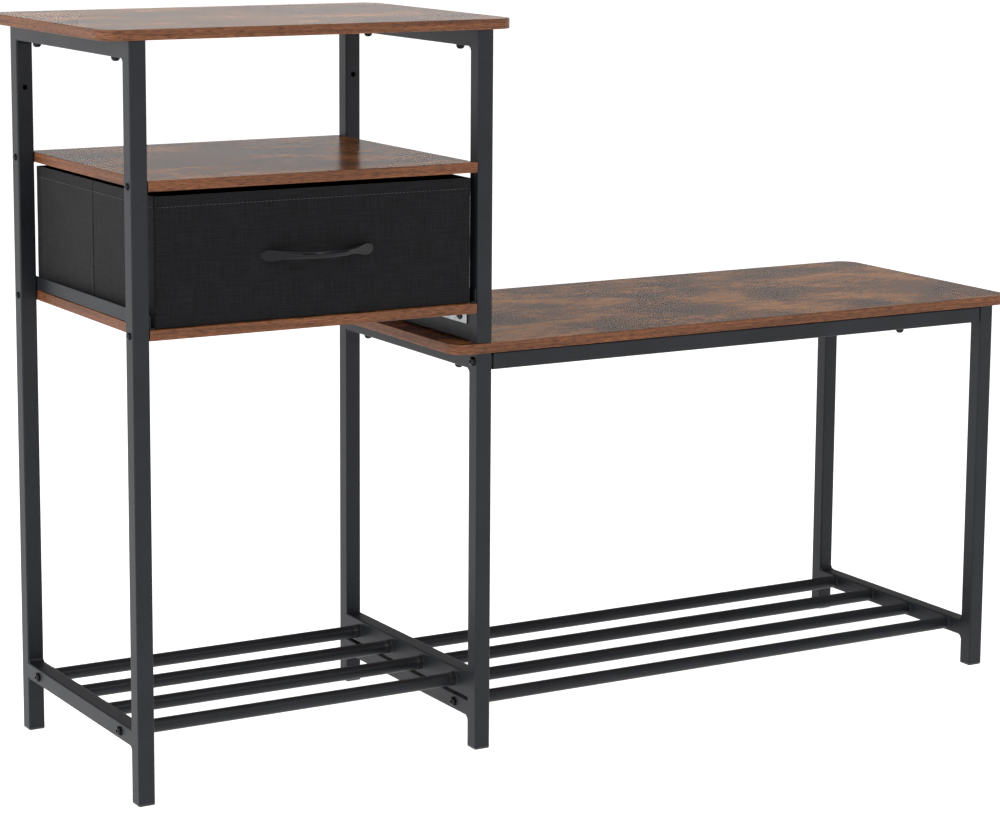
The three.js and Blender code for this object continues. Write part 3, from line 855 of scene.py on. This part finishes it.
def oblong(centre, normal_axis):
    """A tool that cuts an oblong slot, long along Y, through a leaf."""
    long_half, short_half, through = SLOT_LENGTH / 2, SLOT_WIDTH / 2, 4 * ANGLE_PLATE
    half = Vector((short_half, long_half, short_half))
    half[normal_axis] = through
    tool = block("slot", centre - half, centre + half)
    round_edges(runs_along(normal_axis), SLOT_END * short_half, segments=8)
    bpy.ops.object.mode_set(mode="OBJECT")
    return tool


def angle(node, name, plate, corner_x, corner_z):
    """An angle along Y that fills a node's box, its outer corner on the sides with the given signs."""
    low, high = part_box(node)
    corner = Vector((high.x if corner_x > 0 else low.x, 0, high.z if corner_z > 0 else low.z))
    flat_low = (low.x, low.y, min(corner.z, corner.z - corner_z * plate))
    flat_high = (high.x, high.y, max(corner.z, corner.z - corner_z * plate))
    piece = block(name, flat_low, flat_high)
    fold = corner.x - corner_x * plate
    select("FACE", lambda face: True)
    bpy.ops.mesh.bisect(plane_co=(fold, 0, 0), plane_no=(1, 0, 0))
    inside = faces(Z, -corner_z)
    select("FACE", lambda face: inside(face) and (face.calc_center_median().x - fold) * corner_x > 0)
    rise = high.z - low.z - plate
    bpy.ops.mesh.extrude_region_move(TRANSFORM_OT_translate={"value": (0, 0, -corner_z * rise)})
    round_edges(
        lambda edge: runs_along(Y)(edge) and (middle_of(edge) - corner).xz.length < HAIR,
        plate,
        segments=4,
    )
    bpy.ops.object.mode_set(mode="OBJECT")
    return piece


for side, corner_x in (("left", -1), ("right", 1)):
    guard = angle(f"{side}_drawer_guard", f"{side}_guard_angle", ANGLE_PLATE, corner_x, -1)
    modify(guard, "BEVEL", width=0.4 * MM, segments=2, limit_method="ANGLE")
    smooth(guard)
    fit(guard, "frame", "frame_paint", charcoal, f"{side}_drawer_guard")

for side in ("front", "rear"):
    node = f"{side}_shelf_bracket"
    low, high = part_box(node)
    bracket = angle(node, node + "_angle", ANGLE_PLATE, 1, 1)
    middle = (low + high) / 2
    bench_leaf = Vector((high.x - ANGLE_PLATE / 2, middle.y, middle.z - ANGLE_PLATE / 2))
    shelf_leaf = Vector((middle.x - ANGLE_PLATE / 2, middle.y, high.z - ANGLE_PLATE / 2))
    slots = []
    for offset in (-SLOT_OFFSET, SLOT_OFFSET):
        away = Vector((0, offset, 0))
        slots.append((bench_leaf + away, X))
        slots.append((shelf_leaf + away, Z))
    for centre, axis in slots:
        cut_away(bracket, oblong(centre, axis))
    modify(bracket, "BEVEL", width=0.25 * MM, segments=2, limit_method="ANGLE")
    smooth(bracket)
    fit(bracket, "frame", "zinc_steel", zinc, node)
    for number, (centre, axis) in enumerate(slots):
        inner = Vector((ANGLE_PLATE / 2, 0, 0)) if axis == X else Vector((0, 0, ANGLE_PLATE / 2))
        turn = FORWARD if axis == X else UPWARD
        shortened = turn @ Matrix.Diagonal((BRACKET_SCREW_SHARE, 1, 1, 1))
        piece = copy_to(screw, f"{node}_screw_{number + 1}", centre - inner, shortened)
        fit(piece, "frame", "black_fixing", None)

# ------------------------------------------------------------------ fabric drawer
# A box sewn from black polyester linen over stiff inserts: a flat front, and softer sides, each joined
# by an upright seam at half depth. The rim is folded inwards and stitched 12 mm below its edge.
CLOTH = 1.8 * MM
DRAWER_ROUND = 2 * MM
CELL = 16 * MM
SIDE_SLACK = 1.2 * MM
REAR_SLACK = 1.6 * MM
FRONT_SWELL = 0.7 * MM
RIPPLE = 0.45 * MM
RIPPLE_SIZE = 45 * MM
HEM = 14 * MM
HEM_CLOTH = 0.8 * MM
HEM_DROP = 0.6 * MM  # below the rim
STITCH_DROP = 12 * MM
STITCH_LENGTH = 3.2 * MM
STITCH_PITCH = 4.8 * MM
THREAD = 0.75 * MM
# The real thread is about 0.5 mm across: drawn coarser so that the weave shows.
WEAVE = 1.3 * MM


def linen():
    """Black woven polyester linen: matt, with uneven threads both ways that catch a little light."""
    material = new_material(
        "black_woven_polyester_linen",
        Sheen_Weight=0.1,
        Sheen_Roughness=0.45,
        Specular_IOR_Level=0.12,
    )
    place = add_node(material, "TexCoord").outputs["UV"]
    threads = add_node(material, "Mapping", {"Vector": place, "Scale": (1 / WEAVE, 1 / WEAVE, 1)}).outputs[0]
    one_per_thread = math.pi / 10
    heights = []
    slubs = []
    for direction, stretch in (("X", (1, 0.05, 1)), ("Y", (0.05, 1, 1))):
        wave = add_node(
            material,
            "TexWave",
            {"Vector": threads, "Scale": one_per_thread, "Distortion": 0.8, "Detail": 2},
            bands_direction=direction,
        )
        heights.append(wave.outputs["Fac"])
        run = add_node(material, "Mapping", {"Vector": threads, "Scale": stretch}).outputs[0]
        slub = add_node(material, "TexNoise", {"Vector": run, "Scale": 0.8, "Detail": 3})
        slubs.append(slub.outputs["Fac"])
    crossing = add_node(material, "Math", {0: heights[0], 1: heights[1]}, operation="MULTIPLY").outputs[0]
    slub = add_node(material, "Math", {0: slubs[0], 1: slubs[1]}, operation="ADD").outputs[0]
    thick = add_node(material, "MapRange", {"Value": slub, "From Min": 0.7, "From Max": 1.3}).outputs[0]
    tone = ramp(material, thick, [(0.0, "0f0f11"), (1.0, "1f1f22")])
    # Painted shade: the cloth is drawn darker where the weave is low, in the hollows between its threads.
    painted_weave_shade = ramp(material, crossing, [(0.0, "8a8a8a"), (0.4, "ffffff")])
    colour = blend_colours(material, 0.8, tone, painted_weave_shade, "MULTIPLY")
    height = add_node(material, "Math", {0: crossing, 1: slub}, operation="ADD").outputs[0]
    relief = bump(material, height, 0.5, 0.3 * MM)
    rough = add_node(material, "MapRange", {"Value": slub, "From Max": 2, "To Min": 0.95, "To Max": 0.75})
    connect(material, Base_Color=colour, Roughness=rough.outputs[0], Normal=relief)
    return material


def sewing_thread():
    """Black polyester sewing thread: twisted, a little shinier and greyer than the linen."""
    material = new_material("black_polyester_thread", Sheen_Weight=0.2)
    twist = speckle(material, add_node(material, "TexCoord").outputs["Object"], 1 * MM, 2)
    tone = ramp(material, twist, [(0.3, "141416"), (0.7, "1f1f22")])
    connect(material, Base_Color=tone, Roughness=spread(material, twist, 0.5, 0.7))
    return material


black_linen = linen()
thread = sewing_thread()
drawer_low, drawer_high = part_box("drawer_fabric_box")
drawer_size = drawer_high - drawer_low


def lay_cloth_map(piece):
    """Maps cloth by the direction that each face looks in, in metres, so that its threads run straight."""
    layer = only_map(piece, "cloth")
    mesh = piece.data
    for polygon in mesh.polygons:
        across = max(range(3), key=lambda axis: abs(polygon.normal[axis]))
        u, v = ((Y, Z), (X, Z), (X, Y))[across]
        for i in polygon.loop_indices:
            point = mesh.vertices[mesh.loops[i].vertex_index].co
            layer.data[i].uv = (point[u], point[v])


def slice_along(axis, low, high, step):
    """Cuts the whole mesh into even slices."""
    count = round((high - low) / step)
    for i in range(1, count):
        place, normal = Vector(), Vector()
        place[axis] = low + (high - low) * i / count
        normal[axis] = 1
        bpy.ops.mesh.select_all(action="SELECT")
        bpy.ops.mesh.bisect(plane_co=place, plane_no=normal)


def cloth_shift(point):
    """How far the cloth of a wall stands from flat at a point: sides and rear sag in, the front swells."""
    along_x = (point.x - drawer_low.x) / drawer_size.x
    along_y = (point.y - drawer_low.y) / drawer_size.y
    up = min(1, (point.z - drawer_low.z) / (drawer_size.z - HEM))
    full = math.sin(math.pi * up)
    ripple = RIPPLE * full * noise.noise(point / RIPPLE_SIZE)
    near = 0.2 * MM
    shift = Vector()
    for face_x, inward in ((drawer_low.x, 1), (drawer_high.x, -1)):
        if abs(point.x - face_x) < near:
            panels = abs(math.sin(2 * math.pi * along_y))
            shift.x += inward * (SIDE_SLACK * full * panels + ripple)
    if abs(point.y - drawer_high.y) < near:
        shift.y -= REAR_SLACK * full * math.sin(math.pi * along_x) + ripple
    if abs(point.y - drawer_low.y) < near:
        shift.y -= FRONT_SWELL * full * math.sin(math.pi * along_x) + 0.3 * ripple
    return shift


shell = block("drawer_linen_shell", drawer_low, drawer_high)
round_edges(runs_along(Z), DRAWER_ROUND, segments=4)
round_edges(lambda edge: max(v.co.z for v in edge.verts) < drawer_low.z + HAIR, DRAWER_ROUND, segments=4)
select("FACE", faces(Z, 1))
bpy.ops.mesh.delete(type="FACE")
for axis in (X, Y, Z):
    slice_along(axis, drawer_low[axis], drawer_high[axis], CELL)
bpy.ops.object.mode_set(mode="OBJECT")
for vertex in shell.data.vertices:
    vertex.co += cloth_shift(vertex.co)
lay_cloth_map(shell)
modify(shell, "SOLIDIFY", thickness=CLOTH, offset=-1, use_even_offset=True)
modify(shell, "BEVEL", width=0.8 * MM, segments=3, limit_method="ANGLE", angle_limit=math.radians(60))
smooth(shell, 60)
fit(shell, "drawer", "drawer_fabric", black_linen, "drawer_fabric_box")

inner_low = drawer_low + Vector((CLOTH, CLOTH, 0))
inner_high = drawer_high - Vector((CLOTH, CLOTH, HEM_DROP))
inner_low.z = drawer_high.z - HEM
hem = block("drawer_rim_hem", inner_low, inner_high)
select("FACE", lambda face: abs(face.normal.z) > 0.9)
bpy.ops.mesh.delete(type="FACE")
bpy.ops.object.mode_set(mode="OBJECT")
lay_cloth_map(hem)
modify(hem, "SOLIDIFY", thickness=HEM_CLOTH, offset=-1, use_even_offset=True)
modify(hem, "BEVEL", width=0.3 * MM, segments=2, limit_method="ANGLE")
smooth(hem)
fit(hem, "drawer", "drawer_fabric", black_linen)

SEAM_WIDTH = 2.4 * MM
SEAM_RISE = 0.4 * MM
SEAM_ROUND = 0.6 * MM
SEAM_DROP = 1 * MM  # below the rim
SEAM_CELL = 8 * MM
SEAM_SWAY = 0.35 * MM
SEAM_SWAY_SIZE = 12 * MM
middle_y = (drawer_low.y + drawer_high.y) / 2
for side, face_x, outward in (("left", drawer_low.x, -1), ("right", drawer_high.x, 1)):
    seam_low = (face_x - SEAM_RISE, middle_y - SEAM_WIDTH / 2, drawer_low.z + DRAWER_ROUND)
    seam_high = (face_x + SEAM_RISE, middle_y + SEAM_WIDTH / 2, drawer_high.z - SEAM_DROP)
    seam = block(f"drawer_{side}_seam", seam_low, seam_high)
    round_edges(runs_along(Z), SEAM_ROUND, segments=3)
    slice_along(Z, seam_low[Z], seam_high[Z], SEAM_CELL)
    bpy.ops.object.mode_set(mode="OBJECT")
    for vertex in seam.data.vertices:
        vertex.co.y += SEAM_SWAY * noise.noise(vertex.co / SEAM_SWAY_SIZE)
    lay_cloth_map(seam)
    smooth(seam)
    fit(seam, "drawer", "drawer_fabric", black_linen)


def stitches(name, start, axis, length, outward):
    """A run of stitches along an axis, each one a short round length of thread laid on the cloth."""
    half = Vector((STITCH_LENGTH / 4, 0, 0))
    one = round_bar(name, -half, half, THREAD / 2, 6)
    for sign in (-1, 1):
        select("FACE", faces(X, sign))
        bpy.ops.mesh.extrude_region_move(TRANSFORM_OT_translate={"value": (sign * STITCH_LENGTH / 4, 0, 0)})
        bpy.ops.transform.resize(value=(1, 0.4, 0.4), center_override=(0, 0, 0))
    bpy.ops.object.mode_set(mode="OBJECT")
    count = int(length / STITCH_PITCH)
    slack = length - (count - 1) * STITCH_PITCH
    modify(
        one,
        "ARRAY",
        count=count,
        use_relative_offset=False,
        use_constant_offset=True,
        constant_offset_displace=(STITCH_PITCH, 0, 0),
    )
    turn = {
        X: Matrix.Identity(4),
        Y: Matrix.Rotation(math.pi / 2, 4, "Z"),
        Z: Matrix.Rotation(-math.pi / 2, 4, "Y"),
    }[axis]
    run = Vector()
    run[axis] = slack / 2
    one.data.transform(Matrix.Translation(Vector(start) + run) @ turn)
    for vertex in one.data.vertices:
        on_wall = vertex.co.copy()
        for side in (X, Y):
            if abs(outward[side]) > 0:
                on_wall[side] = drawer_low[side] if outward[side] < 0 else drawer_high[side]
        vertex.co += cloth_shift(on_wall)
    return one


stitch_z = drawer_high.z - STITCH_DROP
lay = 0.15 * MM
left_x, right_x = drawer_low.x - lay, drawer_high.x + lay
front_y, rear_y = drawer_low.y - lay, drawer_high.y + lay
in_x, in_y = drawer_low.x + DRAWER_ROUND, drawer_low.y + DRAWER_ROUND
run_x, run_y = drawer_size.x - 2 * DRAWER_ROUND, drawer_size.y - 2 * DRAWER_ROUND
run_z = drawer_size.z - STITCH_DROP - DRAWER_ROUND
beside = 4 * MM
low_z = drawer_low.z + DRAWER_ROUND
runs = [
    stitches("front_run", (in_x, front_y, stitch_z), X, run_x, (0, -1)),
    stitches("rear_run", (in_x, rear_y, stitch_z), X, run_x, (0, 1)),
    stitches("left_run", (left_x, in_y, stitch_z), Y, run_y, (-1, 0)),
    stitches("right_run", (right_x, in_y, stitch_z), Y, run_y, (1, 0)),
    stitches("left_seam_run", (left_x, middle_y + beside, low_z), Z, run_z, (-1, 0)),
    stitches("right_seam_run", (right_x, middle_y + beside, low_z), Z, run_z, (1, 0)),
]
stitching = join("drawer_stitching", runs)
smooth(stitching, 60)
fit(stitching, "drawer", "drawer_fabric", thread)

# ------------------------------------------------------------------ drawer base board
# A loose 4 mm greyboard panel that lies in the drawer and keeps its floor flat: cut with round corners.
BASE_CORNER = 4 * MM


def greyboard():
    """Grey recycled board: matt, flecked with pale and dark fibres."""
    material = new_material("pressed_greyboard", Roughness=0.92)
    fibre = speckle(material, add_node(material, "TexCoord").outputs["Object"], 2.5 * MM, 6)
    tone = ramp(material, fibre, [(0.35, "5d564e"), (0.65, "877d71")])
    connect(material, Base_Color=tone, Normal=bump(material, fibre, 0.3, 0.1 * MM))
    return material


base = block("drawer_base_panel", *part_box("drawer_base_board"))
round_edges(runs_along(Z), BASE_CORNER, segments=5)
bpy.ops.object.mode_set(mode="OBJECT")
modify(base, "BEVEL", width=0.5 * MM, segments=2, limit_method="ANGLE", angle_limit=math.radians(60))
smooth(base)
fit(base, "drawer", "stiffener", greyboard(), "drawer_base_board")

# ------------------------------------------------------------------ drawer handle
# An injection-moulded black bar, bowed out from the front and thicker towards its feet. Each end is
# sliced off flat at an angle, which leaves an oval face. Two screws hold it from inside the drawer.
HANDLE_HEIGHT_RATIO = 1.3  # height of the bar's section to its thickness
FACET_TILT = math.radians(26)
TIP_THICKNESS = 1.2 * MM
HANDLE_SCREW_PLACE = 0.85  # of the bar's half length, from its middle
HANDLE_SCREW_SHARE = 0.15  # length of a handle's screw to a shelf's
HANDLE_SCREW_GAP = 0.6 * MM  # between the front's inner side and the screw's seat


def handle_plastic():
    """Black glass-filled nylon: satin, with a soft highlight along the bar."""
    material = new_material("black_moulded_nylon", Base_Color=linear("0c0d10"), Specular_IOR_Level=0.2)
    grain = speckle(material, add_node(material, "TexCoord").outputs["Object"], 1.2 * MM, 3)
    gloss = spread(material, grain, 0.2, 0.3)
    connect(material, Roughness=gloss, Normal=bump(material, grain, 0.15, 0.04 * MM))
    return material


handle_low, handle_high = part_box("drawer_handle")
handle_middle = (handle_low + handle_high) / 2
handle_half = (handle_high.x - handle_low.x) / 2
handle_reach = handle_high.y - handle_low.y
# Half of the bar from above, as shares of half its length and of its reach, with the bar's radius.
bow = [
    (0, 0.862, 3.6),
    (0.35, 0.7, 3.7),
    (0.6, 0.38, 4.5),
    (0.75, 0.24, 4.9),
    (0.9, 0.2, 5),
    (1.06, 0.2, 5),
]
course = [(-x, y, r) for x, y, r in reversed(bow[1:])] + bow
bpy.ops.object.select_all(action="DESELECT")
bpy.ops.curve.primitive_bezier_curve_add()
handle = bpy.context.object
handle.name = handle.data.name = "drawer_handle_bar"
spline = handle.data.splines[0]
spline.bezier_points.add(len(course) - len(spline.bezier_points))
for point, (x, y, radius) in zip(spline.bezier_points, course):
    point.co = (handle_middle.x + x * handle_half, handle_high.y - y * handle_reach, handle_middle.z)
    point.handle_left_type = point.handle_right_type = "AUTO"
    point.radius = radius
    point.tilt = 0
handle.data.dimensions = "3D"
handle.data.bevel_depth = 1 * MM
handle.data.bevel_resolution = 10
handle.data.resolution_u = 10
handle.data.use_fill_caps = True
bpy.ops.object.convert(target="MESH")
bpy.ops.object.transform_apply(location=True, rotation=True, scale=True)
bpy.ops.object.mode_set(mode="EDIT")
bpy.ops.mesh.select_all(action="SELECT")
bpy.ops.mesh.remove_doubles(threshold=0.01 * MM)
bpy.ops.mesh.normals_make_consistent(inside=False)
bpy.ops.transform.resize(value=(1, 1, HANDLE_HEIGHT_RATIO), center_override=handle_middle)
slope = TIP_THICKNESS / math.tan(FACET_TILT)
planes = [((handle_middle.x, handle_high.y, 0), (0, 1, 0))]
for sign in (-1, 1):
    tip = (handle_middle.x + sign * (handle_half - slope), handle_high.y - TIP_THICKNESS, 0)
    planes.append((tip, (sign * math.sin(FACET_TILT), -math.cos(FACET_TILT), 0)))
for place, normal in planes:
    bpy.ops.mesh.select_all(action="SELECT")
    bpy.ops.mesh.bisect(plane_co=place, plane_no=normal, clear_outer=True, use_fill=True)
bpy.ops.object.mode_set(mode="OBJECT")
modify(handle, "BEVEL", width=0.35 * MM, segments=2, limit_method="ANGLE", angle_limit=math.radians(18))
smooth(handle, 25)
fit(handle, "drawer", "black_plastic", handle_plastic(), "drawer_handle")

OUT_FRONT = Matrix.Rotation(-math.pi / 2, 4, "Z")
for end, sign in (("left", -1), ("right", 1)):
    seat_x = handle_middle.x + sign * HANDLE_SCREW_PLACE * handle_half
    seat = Vector((seat_x, drawer_low.y + CLOTH + HANDLE_SCREW_GAP, handle_middle.z))
    shortened = OUT_FRONT @ Matrix.Diagonal((HANDLE_SCREW_SHARE, 1, 1, 1))
    piece = copy_to(screw, f"handle_{end}_screw", seat, shortened)
    fit(piece, "drawer", "black_fixing", None)

for pattern in (bolt, screw, board_screw):
    bpy.data.objects.remove(pattern)
